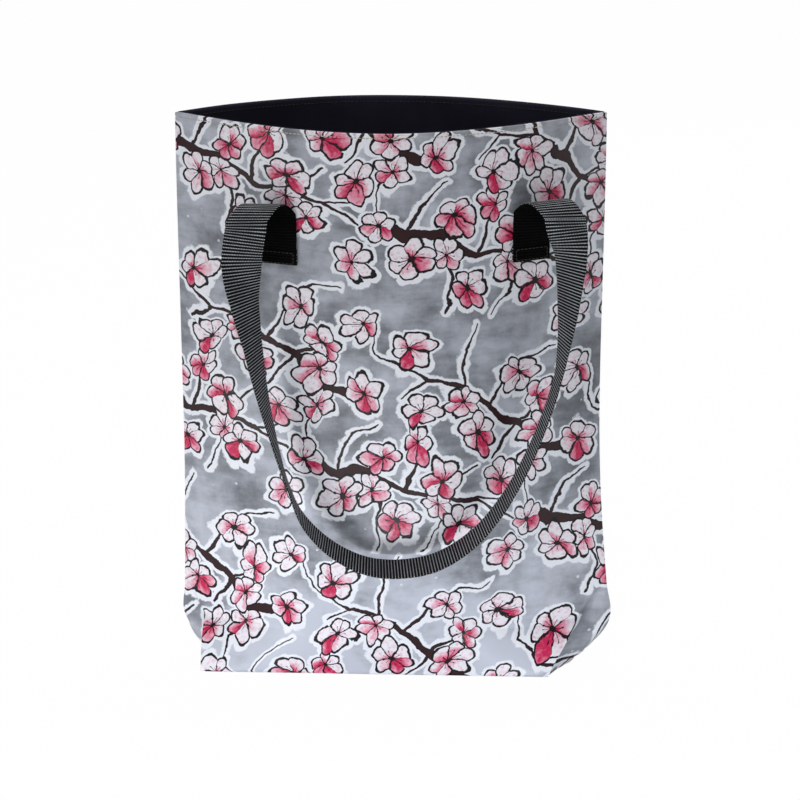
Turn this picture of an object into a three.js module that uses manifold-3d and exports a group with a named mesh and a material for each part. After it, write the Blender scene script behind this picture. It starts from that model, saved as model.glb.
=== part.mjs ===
// Shopper bag: a coated fabric shell with a boxed base, a dark lining and two webbing handles.
// Millimetres, +Z up. The front faces -Y, and the origin is the middle of the footprint.
import * as THREE from "three";
import { mergeVertices } from "three/addons/utils/BufferGeometryUtils.js";
import Module from "manifold-3d";

const wasm = await Module();
wasm.setup();

// Driving dimensions of the shell
const panelWidth = 340; // flat width between the side seams
const bagHeight = 430; // floor to rim
const baseDepth = 76; // front to back of the boxed base
const bellyDepth = 116; // front to back where the standing bag is fullest
const bellyHeight = 190; // height of that place
const mouthDepth = 106; // front to back of the open mouth
const creaseHeight = 62; // where each boxed corner's crease runs out into the side seam
const gussetSplay = 54; // degrees by which a gusset has turned sideways where its crease runs out
const gussetPuff = 5; // how far a side gusset stands out beyond its flat fold
const baseShear = 0.5; // sideways slip of the base for each millimetre of depth
const shearHeight = 120; // height at which that slip has died out
const shearEase = 1.5;
const baseSlip = 6; // sideways slip of the whole base under the mouth
const slipHeight = 250;

// Driving dimensions of the cloth layers
const outerThickness = 1;
const hemHeight = 12; // turned-in top edge of the outer fabric
const liningThickness = 0.7;
const liningDepth = 2.3; // outer face of the shell to outer face of the lining
const liningDrop = 2; // rim to the top edge of the lining
const seamGap = 1; // between the two panels where they are sewn together
const clearance = 0.3; // between pieces that touch

// Driving dimensions of the threads
const threadThickness = 0.4;
const threadWidth = 0.8;
const topstitchDrop = 4.5; // rim to the topstitching
const boxStitchMargin = 2; // edge of a sewn strap end to its stitching
const seamThreadDepth = 1; // how far the seam stitching lies inside the edge

// Driving dimensions of the handles
const webbingWidth = 30;
const webbingThickness = 1.4;
const handleSpacing = 189.4; // between the two sewn ends, along the panel
const handleShift = 10.9; // how far the pair is sewn to one side of the middle
const sewnBottom = 325.5; // floor to the lower edge of a sewn end
const sewnHeight = 13;
const riserHeight = 25.5; // free webbing above the sewn end, up to the fold
const foldRadius = 10; // centre line of the fold
const riserLean = 1.5; // sideways lean of a riser, away from the middle
const riserStandoff = 4; // how far a riser has come away from the panel at the fold
const foldLean = 21; // sideways shift of the webbing through its fold
const handleDrop = 265; // fold centre to the lowest part of the hanging loop
const loopTilt = 8; // degrees by which the loop's lowest part tips towards the front
const patchMargin = 6; // how far a backing patch reaches past the sewn end
const patchThickness = 0.7;

// How finely the cloth and the webbing are divided
const faceColumns = 18;
const gussetRows = 6;
const wallRows = 8;
const loopSteps = 63;
const foldSteps = 10;

// Derived sizes
const halfWidth = panelWidth / 2;
const halfBase = baseDepth / 2;
const seamHalf = seamGap / 2;
const foldHeight = sewnBottom + sewnHeight + riserHeight;
const stripWidth = 10; // least width of the columns beside a side seam

const colours = {
  print: { color: 0xa9adb4, roughness: 0.35, metalness: 0 },
  lining: { color: 0x16151c, roughness: 0.85, metalness: 0 },
  webbing: { color: 0x33373a, roughness: 0.75, metalness: 0 },
  paleThread: { color: 0xe4dfd2, roughness: 0.8, metalness: 0 },
  darkThread: { color: 0x3a3828, roughness: 0.8, metalness: 0 },
  patch: { color: 0xd8d6cf, roughness: 0.9, metalness: 0 },
};

const { lerp, smoothstep, clamp, degToRad } = THREE.MathUtils;

// The shape of the standing bag

// Distance of the middle of the front face from the bag's mid plane
function faceDepth(z) {
  const rise = Math.sin((Math.PI / 2) * clamp(z / bellyHeight, 0, 1));
  const full = lerp(halfBase, bellyDepth / 2, rise);
  return lerp(full, mouthDepth / 2, smoothstep(z, bellyHeight, bagHeight));
}

// Half the width of a face of a given half length that bows out by a given rise
function chordOf(length, bow) {
  let low = 0;
  let high = length;
  for (let step = 0; step < 40; step += 1) {
    const chord = (low + high) / 2;
    const curve = new THREE.QuadraticBezierCurve(
      new THREE.Vector2(0, 0),
      new THREE.Vector2(chord / 2, 0),
      new THREE.Vector2(chord, bow),
    );
    if (curve.getLength() < length) low = chord;
    else high = chord;
  }
  return (low + high) / 2;
}

// A quarter of the level section at one height: the half face, then the gusset up to the side seam
const sections = new Map();
function sectionAt(z) {
  if (sections.has(z)) return sections.get(z);
  const open = clamp(1 - z / creaseHeight, 0, 1);
  const gusset = halfBase * open;
  const turn = degToRad(gussetSplay) * (1 - open);
  const back = gusset * Math.cos(turn);
  const depth = faceDepth(z);
  const reach = halfWidth - gusset;
  const chord = chordOf(reach, depth - back - seamHalf);
  const puff = gussetPuff * Math.sin(Math.PI * open) ** 2;
  const crease = new THREE.Vector2(chord, -back - seamHalf);
  const spread = gusset * Math.sin(turn) + puff;
  const seam = new THREE.Vector2(chord + spread, -seamHalf);
  const centre = new THREE.Vector2(0, -depth);
  const face = new THREE.QuadraticBezierCurve(centre, new THREE.Vector2(chord / 2, -depth), crease);
  const section = { face, reach, crease, seam };
  sections.set(z, section);
  return section;
}

// A point of the whole closed section, by its distance along the cloth from the middle of the front
function sectionPoint(z, s) {
  const { face, reach, crease, seam } = sectionAt(z);
  const past = Math.abs(s) > halfWidth;
  const along = past ? 2 * halfWidth - Math.abs(s) : Math.abs(s);
  const onFace = along <= reach;
  const share = onFace ? along / reach : (along - reach) / (halfWidth - reach);
  const point = onFace ? face.getPointAt(share) : crease.clone().lerp(seam, share);
  if (past) point.y = -seamGap - point.y;
  if (s < 0) point.x = -point.x;
  return point;
}

// The inward step at a point of the section, mitred at creases and at the side seam
function inwardStep(z, s) {
  const reach = 1;
  const before = sectionPoint(z, s - reach);
  const here = sectionPoint(z, s);
  const after = sectionPoint(z, s + reach);
  const first = here.clone().sub(before).normalize();
  const second = after.clone().sub(here).normalize();
  const cosine = first.dot(second);
  return new THREE.Vector2(-first.y - second.y, first.x + second.x).divideScalar(1 + cosine);
}

// The slip of the soft base, sideways, which leaves the mouth where it is
function settled(point) {
  const shear = baseShear * clamp(1 - point.z / shearHeight, 0, 1) ** shearEase;
  const slip = baseSlip * clamp(1 - point.z / slipHeight, 0, 1) ** 2;
  return new THREE.Vector3(point.x + shear * point.y + slip, point.y, point.z);
}

// A point in the cloth wall: side 1 is the front and -1 the back, and inset is its depth below the face
function wallPoint(side, s, z, inset) {
  const flat = sectionPoint(z, s).addScaledVector(inwardStep(z, s), inset);
  return settled(new THREE.Vector3(side * flat.x, side * flat.y, z));
}

// The outward direction of the wall, level
function wallNormal(side, s, z) {
  const step = inwardStep(z, s).normalize();
  return new THREE.Vector3(-side * step.x, -side * step.y, 0);
}

// Solids from grids of points

function geometryFrom(points, triangles) {
  const geometry = new THREE.BufferGeometry();
  geometry.setFromPoints(points);
  geometry.setIndex(triangles);
  return geometry;
}

// A closed slab between an outer and an inner skin, each a list of rows of points,
// with every square split along its shorter diagonal
function slab(outer, inner) {
  const rows = outer.length;
  const columns = outer[0].length;
  const points = [...outer.flat(), ...inner.flat()];
  const triangles = [];
  const at = (skin, row, column) => skin * rows * columns + row * columns + column;
  const quad = (a, b, c, d) => {
    const straight = points[a].distanceTo(points[c]) <= points[b].distanceTo(points[d]);
    const halves = straight ? [a, b, c, a, c, d] : [b, c, d, b, d, a];
    triangles.push(...halves);
  };
  for (let row = 0; row < rows - 1; row += 1) {
    for (let column = 0; column < columns - 1; column += 1) {
      quad(at(0, row, column), at(0, row, column + 1), at(0, row + 1, column + 1), at(0, row + 1, column));
      quad(at(1, row, column), at(1, row + 1, column), at(1, row + 1, column + 1), at(1, row, column + 1));
    }
    quad(at(0, row, 0), at(0, row + 1, 0), at(1, row + 1, 0), at(1, row, 0));
    const last = columns - 1;
    quad(at(0, row, last), at(1, row, last), at(1, row + 1, last), at(0, row + 1, last));
  }
  for (let column = 0; column < columns - 1; column += 1) {
    const top = rows - 1;
    quad(at(0, 0, column), at(1, 0, column), at(1, 0, column + 1), at(0, 0, column + 1));
    quad(at(0, top, column), at(0, top, column + 1), at(1, top, column + 1), at(1, top, column));
  }
  return geometryFrom(points, triangles);
}

// A strip of webbing through stations, each a frame with its width and the two faces' offsets
function strip(stations) {
  const skin = (side) =>
    stations.map(({ place, across, out, inner, outer }) =>
      [-1, 1].map((edge) =>
        place
          .clone()
          .addScaledVector(across, (edge * webbingWidth) / 2)
          .addScaledVector(out, side > 0 ? outer : inner),
      ),
    );
  return slab(skin(1), skin(-1));
}

function joined(first, second) {
  const solids = [first, second].map((geometry) => {
    geometry.deleteAttribute("normal");
    geometry.deleteAttribute("uv");
    const merged = mergeVertices(geometry, 1e-4);
    const mesh = new wasm.Mesh({
      numProp: 3,
      vertProperties: merged.attributes.position.array,
      triVerts: new Uint32Array(merged.index.array),
    });
    return new wasm.Manifold(mesh);
  });
  const mesh = solids[0].add(solids[1]).getMesh();
  const geometry = new THREE.BufferGeometry();
  geometry.setAttribute("position", new THREE.BufferAttribute(mesh.vertProperties, 3));
  geometry.setIndex(new THREE.BufferAttribute(mesh.triVerts, 1));
  return geometry;
}

const bag = new THREE.Group();
const materials = Object.fromEntries(
  Object.entries(colours).map(([name, look]) => [name, new THREE.MeshStandardMaterial(look)]),
);

function addNode(name, geometry, material) {
  const mesh = new THREE.Mesh(geometry, materials[material]);
  mesh.name = name;
  bag.add(mesh);
  return mesh;
}

// The cloth panels

// Distances along a face, from seam to seam, with columns at the creases
function columnsAt(z) {
  const strip = Math.max(halfBase * (1 - z / creaseHeight), stripWidth);
  const face = halfWidth - strip;
  const columns = [-halfWidth];
  for (let step = 0; step <= faceColumns; step += 1) {
    columns.push(lerp(-face, face, step / faceColumns));
  }
  columns.push(halfWidth);
  return columns;
}

// Heights of the rows between a bottom and a top, close together over the boxed corners
function rowsBetween(bottom, top) {
  const rows = [];
  for (let step = 0; step < gussetRows; step += 1) {
    rows.push(lerp(bottom, creaseHeight, step / gussetRows));
  }
  for (let step = 0; step <= wallRows; step += 1) {
    rows.push(lerp(creaseHeight, top, step / wallRows));
  }
  return rows;
}

// The half of the base that belongs to one panel, let into the foot of its wall
function baseHalf(side, inset, bottom, thickness) {
  const overlap = thickness / 4;
  const corner = halfWidth - halfBase - inset - overlap;
  const edge = halfBase - inset - overlap;
  const row = (y, z) => {
    const ends = [-corner, corner];
    return ends.map((x) => settled(new THREE.Vector3(side * x, side * y, z)));
  };
  const skin = (z) => [row(-seamHalf, z), row(-edge, z)];
  return slab(skin(bottom), skin(bottom + thickness));
}

// A panel's wall, from the base up, between two depths below the bag's face
function wallSheet(side, rows, depths) {
  const skin = (pick) =>
    rows.map((z, row) => columnsAt(z).map((s) => wallPoint(side, s, z, depths(row)[pick])));
  return slab(skin(0), skin(1));
}

function outerPanel(side) {
  const hemLine = bagHeight - hemHeight;
  const rows = [...rowsBetween(0, hemLine - outerThickness), hemLine, bagHeight];
  const hemRow = rows.length - 2;
  const depths = (row) => [0, row >= hemRow ? 2 * outerThickness : outerThickness];
  const wall = wallSheet(side, rows, depths);
  return joined(wall, baseHalf(side, 0, 0, outerThickness));
}

function liningPanel(side) {
  const bottom = outerThickness + clearance;
  const rows = rowsBetween(bottom, bagHeight - liningDrop);
  const wall = wallSheet(side, rows, () => [liningDepth, liningDepth + liningThickness]);
  return joined(wall, baseHalf(side, liningDepth, bottom, liningThickness));
}

// A line of topstitching along one face, a thread's height off the cloth
function topstitch(side, inset) {
  const middle = bagHeight - topstitchDrop;
  const rows = [middle - threadWidth / 2, middle + threadWidth / 2];
  const ends = 1 - clearance / stripWidth;
  const skin = (depth) =>
    rows.map((z) => columnsAt(z).map((s) => wallPoint(side, s * ends, z, depth)));
  return slab(skin(inset), skin(inset + threadThickness));
}

// The seam stitching at one side of the bag, between the two panels' edges
function sideSeamThread(end) {
  const rows = rowsBetween(outerThickness + clearance, bagHeight - hemHeight);
  const edge = (z, y, depth) => {
    const seam = sectionPoint(z, halfWidth);
    return settled(new THREE.Vector3(end * (seam.x - depth), y, z));
  };
  const half = threadThickness / 2;
  const depths = [seamThreadDepth + threadWidth, seamThreadDepth];
  const skin = (y) => rows.map((z) => depths.map((depth) => edge(z, end * y, depth)));
  return slab(skin(-half), skin(half));
}

function bottomSeamThread() {
  const reach = halfWidth - halfBase - seamThreadDepth - outerThickness;
  const low = (outerThickness - threadWidth) / 2;
  const thread = new THREE.BoxGeometry(2 * reach, threadThickness, threadWidth);
  thread.translate(baseSlip, 0, low + threadWidth / 2);
  return thread;
}

for (const [place, side] of [["front", 1], ["back", -1]]) {
  addNode(`outer_${place}_panel`, outerPanel(side), "print");
  addNode(`lining_${place}_panel`, liningPanel(side), "lining");
  addNode(`${place}_rim_topstitch`, topstitch(side, -clearance - threadThickness), "paleThread");
  const inside = liningDepth + liningThickness + clearance;
  addNode(`${place}_lining_topstitch`, topstitch(side, inside), "darkThread");
}
for (const [place, end] of [["left", -1], ["right", 1]]) {
  addNode(`${place}_seam_thread`, sideSeamThread(end), "paleThread");
}
addNode("bottom_seam_thread", bottomSeamThread(), "paleThread");

// The handles: each is sewn on at both ends, stands up as a riser, folds forward and hangs as a loop

// Frame of one sewn end of the front handle, on the face of the panel
function sewnFrame(end) {
  const s = handleShift + (end * handleSpacing) / 2;
  const middle = sewnBottom + sewnHeight / 2;
  const out = wallNormal(1, s, middle);
  const across = new THREE.Vector3(-out.y, out.x, 0);
  const place = wallPoint(1, s, middle, 0).addScaledVector(out, clearance);
  return { s, place, out, across };
}

const sewn = { left: sewnFrame(-1), right: sewnFrame(1) };
const riserFace = 1.5 * webbingThickness; // panel gap to the middle of the riser's webbing

// Where a riser's centre line reaches the fold's height
function riserTop(end) {
  const frame = end < 0 ? sewn.left : sewn.right;
  const top = frame.place.clone().addScaledVector(frame.out, riserFace);
  return new THREE.Vector3(top.x + end * riserLean, top.y - riserStandoff, foldHeight);
}

// Both folds turn about one line, which is the handle's swing axis
const hinge = [-1, 1].map((end) => riserTop(end));
const hingeAxis = hinge[1].clone().sub(hinge[0]).normalize();
const hingeOut = new THREE.Vector3(hingeAxis.y, -hingeAxis.x, 0);

function stripEnd(end) {
  const frame = end < 0 ? sewn.left : sewn.right;
  const top = riserTop(end);
  const start = frame.place.clone().setZ(sewnBottom);
  const finish = frame.place.clone().setZ(sewnBottom + sewnHeight);
  const free = finish.clone().setZ(finish.z + webbingThickness / 2);
  const lean = new THREE.Vector3(top.x, top.y, top.z).addScaledVector(hingeOut, -riserFace);
  const both = { inner: 0, outer: 2 * webbingThickness };
  const single = { inner: webbingThickness, outer: 2 * webbingThickness };
  const flat = { across: frame.across, out: frame.out };
  return strip([
    { place: start, ...flat, ...both },
    { place: finish, ...flat, ...both },
    { place: free, ...flat, ...single },
    { place: lean, across: hingeAxis, out: hingeOut, ...single },
  ]);
}

// The half turn of webbing over the top of a riser
function fold(end) {
  const from = riserTop(end);
  const stations = [];
  for (let step = 0; step <= foldSteps; step += 1) {
    const share = step / foldSteps;
    const angle = Math.PI * share;
    const place = from.clone();
    place.addScaledVector(hingeAxis, end * foldLean * share);
    place.addScaledVector(hingeOut, foldRadius * (1 - Math.cos(angle)));
    place.z += clearance + foldRadius * Math.sin(angle);
    const out = hingeOut.clone().multiplyScalar(-Math.cos(angle));
    out.z = Math.sin(angle);
    const half = webbingThickness / 2;
    stations.push({ place, across: hingeAxis.clone().negate(), out, inner: -half, outer: half });
  }
  return strip(stations);
}

// Shape of the hanging loop, left to right: share of the span, share of the drop, turn of the webbing
const loopShape = [
  [0, 0, 0],
  [-0.017, 0.11, 8],
  [-0.009, 0.225, 46],
  [0.014, 0.342, 64],
  [0.037, 0.458, 74],
  [0.066, 0.574, 83],
  [0.12, 0.747, 94],
  [0.171, 0.855, 92],
  [0.269, 0.944, 90],
  [0.382, 0.992, 90],
  [0.494, 1, 90],
  [0.607, 0.978, 90],
  [0.719, 0.913, 90],
  [0.811, 0.815, 90],
  [0.888, 0.691, 90],
  [0.944, 0.568, 90],
  [0.982, 0.457, 91],
  [1.002, 0.347, 102],
  [1.012, 0.26, 114],
  [1.018, 0.174, 125],
  [1.019, 0.1, 139],
  [1, 0, 180],
];

function loopStations() {
  const tops = [-1, 1].map((end) =>
    riserTop(end).addScaledVector(hingeAxis, end * foldLean).addScaledVector(hingeOut, 2 * foldRadius),
  );
  const lowest = -(bellyDepth / 2 + clearance + webbingWidth / 2);
  const middle = tops[0].clone().lerp(tops[1], 0.5);
  const swing = middle.y - lowest;
  const points = loopShape.map(([span, drop]) => {
    const point = tops[0].clone().lerp(tops[1], span);
    point.z -= drop * handleDrop;
    point.y -= drop * swing;
    return point;
  });
  const path = new THREE.CatmullRomCurve3(points);
  const stations = [];
  for (let step = 0; step <= loopSteps; step += 1) {
    const share = step / loopSteps;
    const place = path.getPoint(share);
    const slot = Math.min(Math.floor(share * (loopShape.length - 1)), loopShape.length - 2);
    const within = share * (loopShape.length - 1) - slot;
    const turn = degToRad(lerp(loopShape[slot][2], loopShape[slot + 1][2], within));
    const across = hingeAxis.clone().multiplyScalar(Math.cos(turn));
    across.addScaledVector(hingeOut, -Math.sin(turn));
    across.z = Math.sin(turn) ** 2 * Math.tan(degToRad(loopTilt));
    const end = step === 0 ? -1 : 1;
    const level = step === 0 || step === loopSteps;
    const tangent = level ? new THREE.Vector3(0, 0, end) : path.getTangent(share);
    across.addScaledVector(tangent, -across.dot(tangent)).normalize();
    const out = across.clone().cross(tangent).normalize();
    const half = webbingThickness / 2;
    stations.push({ place, across, out, inner: -half, outer: half });
  }
  return stations;
}

// A backing patch between the shell and the lining, behind one sewn end
function patch(end) {
  const { s } = end < 0 ? sewn.left : sewn.right;
  const reach = webbingWidth / 2 + patchMargin;
  const heights = [sewnBottom - patchMargin, sewnBottom + sewnHeight + patchMargin];
  const inset = outerThickness + clearance;
  const skin = (depth) =>
    heights.map((z) => [-1, -0.5, 0, 0.5, 1].map((share) => wallPoint(1, s + share * reach, z, depth)));
  return slab(skin(inset), skin(inset + patchThickness));
}

// A box of stitching on the face of one sewn end
function boxStitch(end) {
  const frame = end < 0 ? sewn.left : sewn.right;
  const halfSpan = webbingWidth / 2 - boxStitchMargin;
  const halfRise = sewnHeight / 2 - boxStitchMargin;
  const outline = (shape, x, y) => {
    shape.moveTo(-x, -y);
    shape.lineTo(x, -y);
    shape.lineTo(x, y);
    shape.lineTo(-x, y);
    shape.closePath();
    return shape;
  };
  const shape = outline(new THREE.Shape(), halfSpan, halfRise);
  shape.holes.push(outline(new THREE.Path(), halfSpan - threadWidth, halfRise - threadWidth));
  const geometry = new THREE.ExtrudeGeometry(shape, { depth: threadThickness, bevelEnabled: false });
  const up = new THREE.Vector3(0, 0, 1);
  const basis = new THREE.Matrix4().makeBasis(frame.across, up, frame.out);
  const place = frame.place.clone().addScaledVector(frame.out, 2 * webbingThickness + clearance);
  return geometry.applyMatrix4(basis.setPosition(place));
}

const halfTurn = new THREE.Matrix4().makeRotationZ(Math.PI);
for (const side of ["front", "back"]) {
  const turned = (geometry) => (side === "front" ? geometry : geometry.applyMatrix4(halfTurn));
  for (const [place, end] of [["left", -1], ["right", 1]]) {
    addNode(`${side}_${place}_strap_end`, turned(stripEnd(end)), "webbing");
    addNode(`${side}_${place}_fold`, turned(fold(end)), "webbing");
    addNode(`${side}_${place}_box_stitch`, turned(boxStitch(end)), "darkThread");
    addNode(`${side}_${place}_backing_patch`, turned(patch(end)), "patch");
  }
  addNode(`${side}_handle`, turned(strip(loopStations())), "webbing");
}

// The footprint's middle becomes the origin
const middle = new THREE.Box3().setFromObject(bag).getCenter(new THREE.Vector3());
bag.position.set(-middle.x, -middle.y, 0);
const part = new THREE.Group();
part.add(bag);

export default part;
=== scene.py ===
import math
from collections import namedtuple
from functools import lru_cache, partialmethod

import bmesh
import bpy
import numpy as np
from bpy.props import FloatProperty, FloatVectorProperty, PointerProperty
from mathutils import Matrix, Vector


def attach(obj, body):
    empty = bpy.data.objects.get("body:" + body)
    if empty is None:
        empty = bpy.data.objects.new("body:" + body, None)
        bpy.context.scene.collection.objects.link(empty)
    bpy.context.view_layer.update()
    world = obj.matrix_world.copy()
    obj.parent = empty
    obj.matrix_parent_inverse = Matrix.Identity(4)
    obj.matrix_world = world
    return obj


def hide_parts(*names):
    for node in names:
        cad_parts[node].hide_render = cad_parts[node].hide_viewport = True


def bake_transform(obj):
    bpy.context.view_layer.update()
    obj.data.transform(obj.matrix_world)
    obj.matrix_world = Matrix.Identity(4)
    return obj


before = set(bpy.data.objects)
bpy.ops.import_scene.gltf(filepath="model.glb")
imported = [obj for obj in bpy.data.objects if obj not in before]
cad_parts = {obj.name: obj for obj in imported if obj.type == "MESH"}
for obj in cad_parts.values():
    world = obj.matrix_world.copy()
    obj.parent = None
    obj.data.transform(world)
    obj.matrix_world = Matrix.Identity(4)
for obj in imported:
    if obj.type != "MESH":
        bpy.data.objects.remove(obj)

bl_info = {
    "name": "Shopper bag",
    "version": (1, 0, 0),
    "blender": (4, 5, 0),
    "location": "3D View > Sidebar > Shopper bag",
    "description": "Dresses the shopper bag: printed shell, lining, webbing handles and stitching",
    "category": "Add Mesh",
}

SIDES = (("front", 1), ("back", -1))
ENDS = (("left", -1), ("right", 1))
CORNERS = [(f"{place}_{part}", side, end) for place, side in SIDES for part, end in ENDS]

# Shape of the standing bag that no user changes, in metres and radians

# How far left of the origin its middle stands
MIDDLE_X = 0.00418
# Half the slit between the panels at a side seam
SEAM_HALF = 0.00002
FOOT_RADIUS = 0.002
# Cloth beside a side seam that has columns of its own, and the roll of the cloth at a crease
STRIP_WIDTH = 0.010
CREASE_ROLL = 0.0008
# How far a closing gusset turns out, and how far it bulges on the way
GUSSET_SPLAY = math.radians(54)
GUSSET_PUFF = 0.005
# The base slips under the mouth: it shears, moves sideways and twists, less and less up to these heights
BASE_SHEAR = 0.5
SHEAR_HEIGHT = 0.120
SHEAR_EASE = 1.5
BASE_SLIP = 0.006
SLIP_HEIGHT = 0.250
BASE_TWIST = 0.045
# The front rim sags, from this height on and over this length
SAG_FOOT = 0.25
SAG_LENGTH = 0.18
# Creases: where they end, and how they bend on their way up, by panel and end
CREASE_TOP = 0.067
CREASE_POWERS = {(1, -1): 1.1, (1, 1): 1.67, (-1, -1): 1.3, (-1, 1): 1.3}
# A gusset's ridge, with its place past the crease, and its hollow, wide and narrow: shares of its width.
# The narrow hollow grows deeper from the first height down to the second.
RIDGE_PLACE = 0.72
RIDGE_SHARE = 0.1
WIDE_HOLLOW = 0.4
NARROW_HOLLOW = (0.85, 1.25)
HOLLOW_HEIGHTS = (0.032, 0.018)
# The seam across a boxed corner: height, lean, depth, and its puckers' height and pitch
CROSS_SEAM = 0.0078
CROSS_LEAN = 0.007
CROSS_DEPTH = 0.0024
PUCKER_HEIGHT = 0.0012
PUCKER_PITCH = 0.0055
# Soft folds: height, turn per 0.1 m along the cloth and up it, phase, and how often the panel's phase is added
FOLD_WAVES = (
    (0.50, 1.9, 0.8, 0.4, 1), (0.34, -1.2, 2.3, 1.9, -1), (0.26, 3.4, -1.1, 2.6, 2), (0.17, 4.6, 3.1, 0.9, -1),
    (0.10, -7.1, 4.2, 3.3, 1),
)
FOLD_UNIT = 0.1
BACK_PHASE = 2.1
# They die away this near to a seam and to the floor
QUIET_EDGE = 0.05
QUIET_FOOT = 0.04

# Stitches: pitch, how far they stand off the cloth, and radius of their thread, by place
STITCH_PITCH = 0.003
STITCH_LIFT = 0.0001
THREAD_RADII = {"rim": 0.00038, "lining": 0.0003, "seam": 0.0004, "box": 0.00035}
# Distances below the rim outside and inside, the dent along the outer row, and the box's distance from its edges
RIM_STITCH = 0.0034
LINING_STITCH = 0.0042
STITCH_DENT = 0.00035
BOX_INSET = 0.0025
# Distance from a side seam at which the rim's stitches end
SEAM_GAP = 0.002
# A direction in which no stitch runs
ASTRAY = (0.31, 0.52, 0.79)

# Layers of the wall, by their depth below the outer face
OUTER_THICKNESS = 0.001
HEM_THICKNESS = 0.002
HEM_HEIGHT = 0.012
PATCH_DEPTHS = (0.0013, 0.002)
PATCH_MARGIN = 0.006
LINING_DEPTHS = (0.0023, 0.003)
CLEARANCE = 0.0003

# Mesh: a short step along the cloth, points along half an outline and along a whole one where layers face
# each other, and the angle at which edges are sharp
STEP = 0.001
OUTLINE_POINTS = 500
FACING_POINTS = 1361
SHARP_ANGLE = math.radians(46)
# Rows of cloth: levels between which they lie a step apart, from the foot up, and from the rim down
ROW_LEVELS = (0.014, 0.07)
SHELL_DROPS = (0.008, 0.001)
SHELL_STEPS = (0.0008, 0.0022, 0.0034, 0.0009)
LINING_DROP = 0.0025
LINING_STEPS = (0.00115, 0.0022, 0.006)
# The lining's edge rolls over the shell's: height above the rim and way outwards, row by row
LINING_EDGE = ((-0.0012, 0.0), (-0.0002, 0.0004), (0.0003, 0.0011))
# Columns of cloth: on the face, and on each strip beside it
SHELL_COLUMNS = (96, 12)
LINING_COLUMNS = (60, 12)

# The camera that took the photograph
CAMERA_TARGET = (0.00246, 0.0, 0.2072)
CAMERA_DISTANCE = 3.0
CAMERA_ELEVATION = math.radians(17.8857)
CAMERA_LENS = 179.37
SENSOR_WIDTH = 36.0

# Webbing of the hanging loop, left to right: share of the span, share of the drop, turn in degrees
LOOP_SHAPE = np.array([
    (0, 0, 0), (-0.017, 0.11, 8), (-0.009, 0.225, 46), (0.014, 0.342, 64), (0.037, 0.458, 74),
    (0.066, 0.574, 83), (0.12, 0.747, 94), (0.171, 0.855, 92), (0.269, 0.944, 90), (0.382, 0.992, 90),
    (0.494, 1, 90), (0.607, 0.978, 90), (0.719, 0.913, 90), (0.811, 0.815, 90), (0.888, 0.691, 90),
    (0.944, 0.568, 90), (0.982, 0.457, 91), (1.002, 0.347, 102), (1.012, 0.26, 114), (1.018, 0.174, 125),
    (1.019, 0.1, 139), (1, 0, 180),
])
LOOP_POINTS = 1200
LOOP_TILT = math.radians(8)
# How far the crown of a fold tips up towards its outer edge, left and right
FOLD_TIPS = {-1: -0.03, 1: 0.11}
# Length at the end of a piece of webbing over which its rings stay level, and one for none and one for all of it
LEVEL_END = 0.012
LEVEL_NONE = 1e-6
LEVEL_ALL = 9.0
# How far inside a fold's edges its turning begins and ends
FOLD_JOINT = 0.0012
# Rings of webbing per rib, and the power that rounds its edges
RIB_RINGS = 5
EDGE_POWER = 24
# Places across a strip of webbing, as shares of its half width
WEB_COLUMNS = np.array([-1, -0.985, -0.94, -0.8, -0.5, -0.2, 0.2, 0.5, 0.8, 0.94, 0.985, 1])
# Width of two of its yarns
YARN_PITCH = 0.0012
# Ribs counted on before the webbing's inner face, so its print coordinates tell it from the outer one, which lets
# the material paint shade on the inner face
INNER_FACE_RIBS = 2000

# The print, in millimetres. It repeats over this tile, which lies at a slant on the cloth.
PRINT_TILE = (176.0, 190.0)
PRINT_SLANT = math.radians(17)
PRINT_SHIFT = (100.0, 84.0)
PETALS = 6
# Flowers drawn in front: place and radius
FRONT_FLOWERS = [
    (18, 28, 17.5), (66, 18, 15.5), (112, 32, 17.5), (154, 14, 16), (40, 64, 16.5), (88, 62, 17), (134, 74, 16),
    (14, 110, 16.5), (60, 106, 16), (106, 102, 17.5), (150, 112, 17), (38, 150, 17.5), (124, 154, 16.5),
    (170, 158, 15.5), (160, 46, 16),
]
# Flowers drawn behind them
REAR_FLOWERS = [
    (40, 38, 15), (90, 40, 15), (158, 88, 14.5), (84, 122, 15.5), (148, 136, 15), (64, 82, 14.5),
]
# Stems, point by point: place and width, before they are made stouter by the girth
STEMS = [
    [(-18, 50, 4.8), (8, 44, 4.4), (34, 50, 3.8), (62, 42, 3.2), (90, 50, 2.6), (118, 52, 1.9), (146, 44, 1.2)],
    [(34, 50, 2.2), (52, 22, 1.4), (54, -4, 0.9)], [(62, 42, 2.0), (66, 92, 1.2)],
    [(90, 50, 1.9), (110, 78, 1.2)], [(118, 52, 1.3), (140, 62, 0.8)],
    [(8, 44, 1.9), (14, 76, 1.1), (26, 92, 0.8)], [(90, 50, 1.5), (96, 22, 0.9), (88, 4, 0.7)],
    [(182, 104, 4.6), (160, 100, 4.2), (132, 116, 3.5), (108, 124, 2.9), (82, 134, 2.3), (56, 130, 1.7),
     (30, 136, 1.1)],
    [(132, 116, 1.9), (122, 88, 1.2)], [(160, 100, 1.8), (154, 74, 1.0), (158, 52, 0.7)],
    [(108, 124, 2.0), (112, 150, 1.4), (130, 172, 1.0), (150, 180, 0.7)],
    [(82, 134, 1.7), (72, 160, 1.1), (76, 184, 0.8)], [(56, 130, 1.3), (44, 112, 0.9)],
    [(132, 116, 1.7), (152, 136, 1.1)], [(30, 136, 1.1), (14, 142, 0.8)], [(14, 142, 0.9), (2, 160, 0.7)],
]
STEM_GIRTH = 1.6

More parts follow.
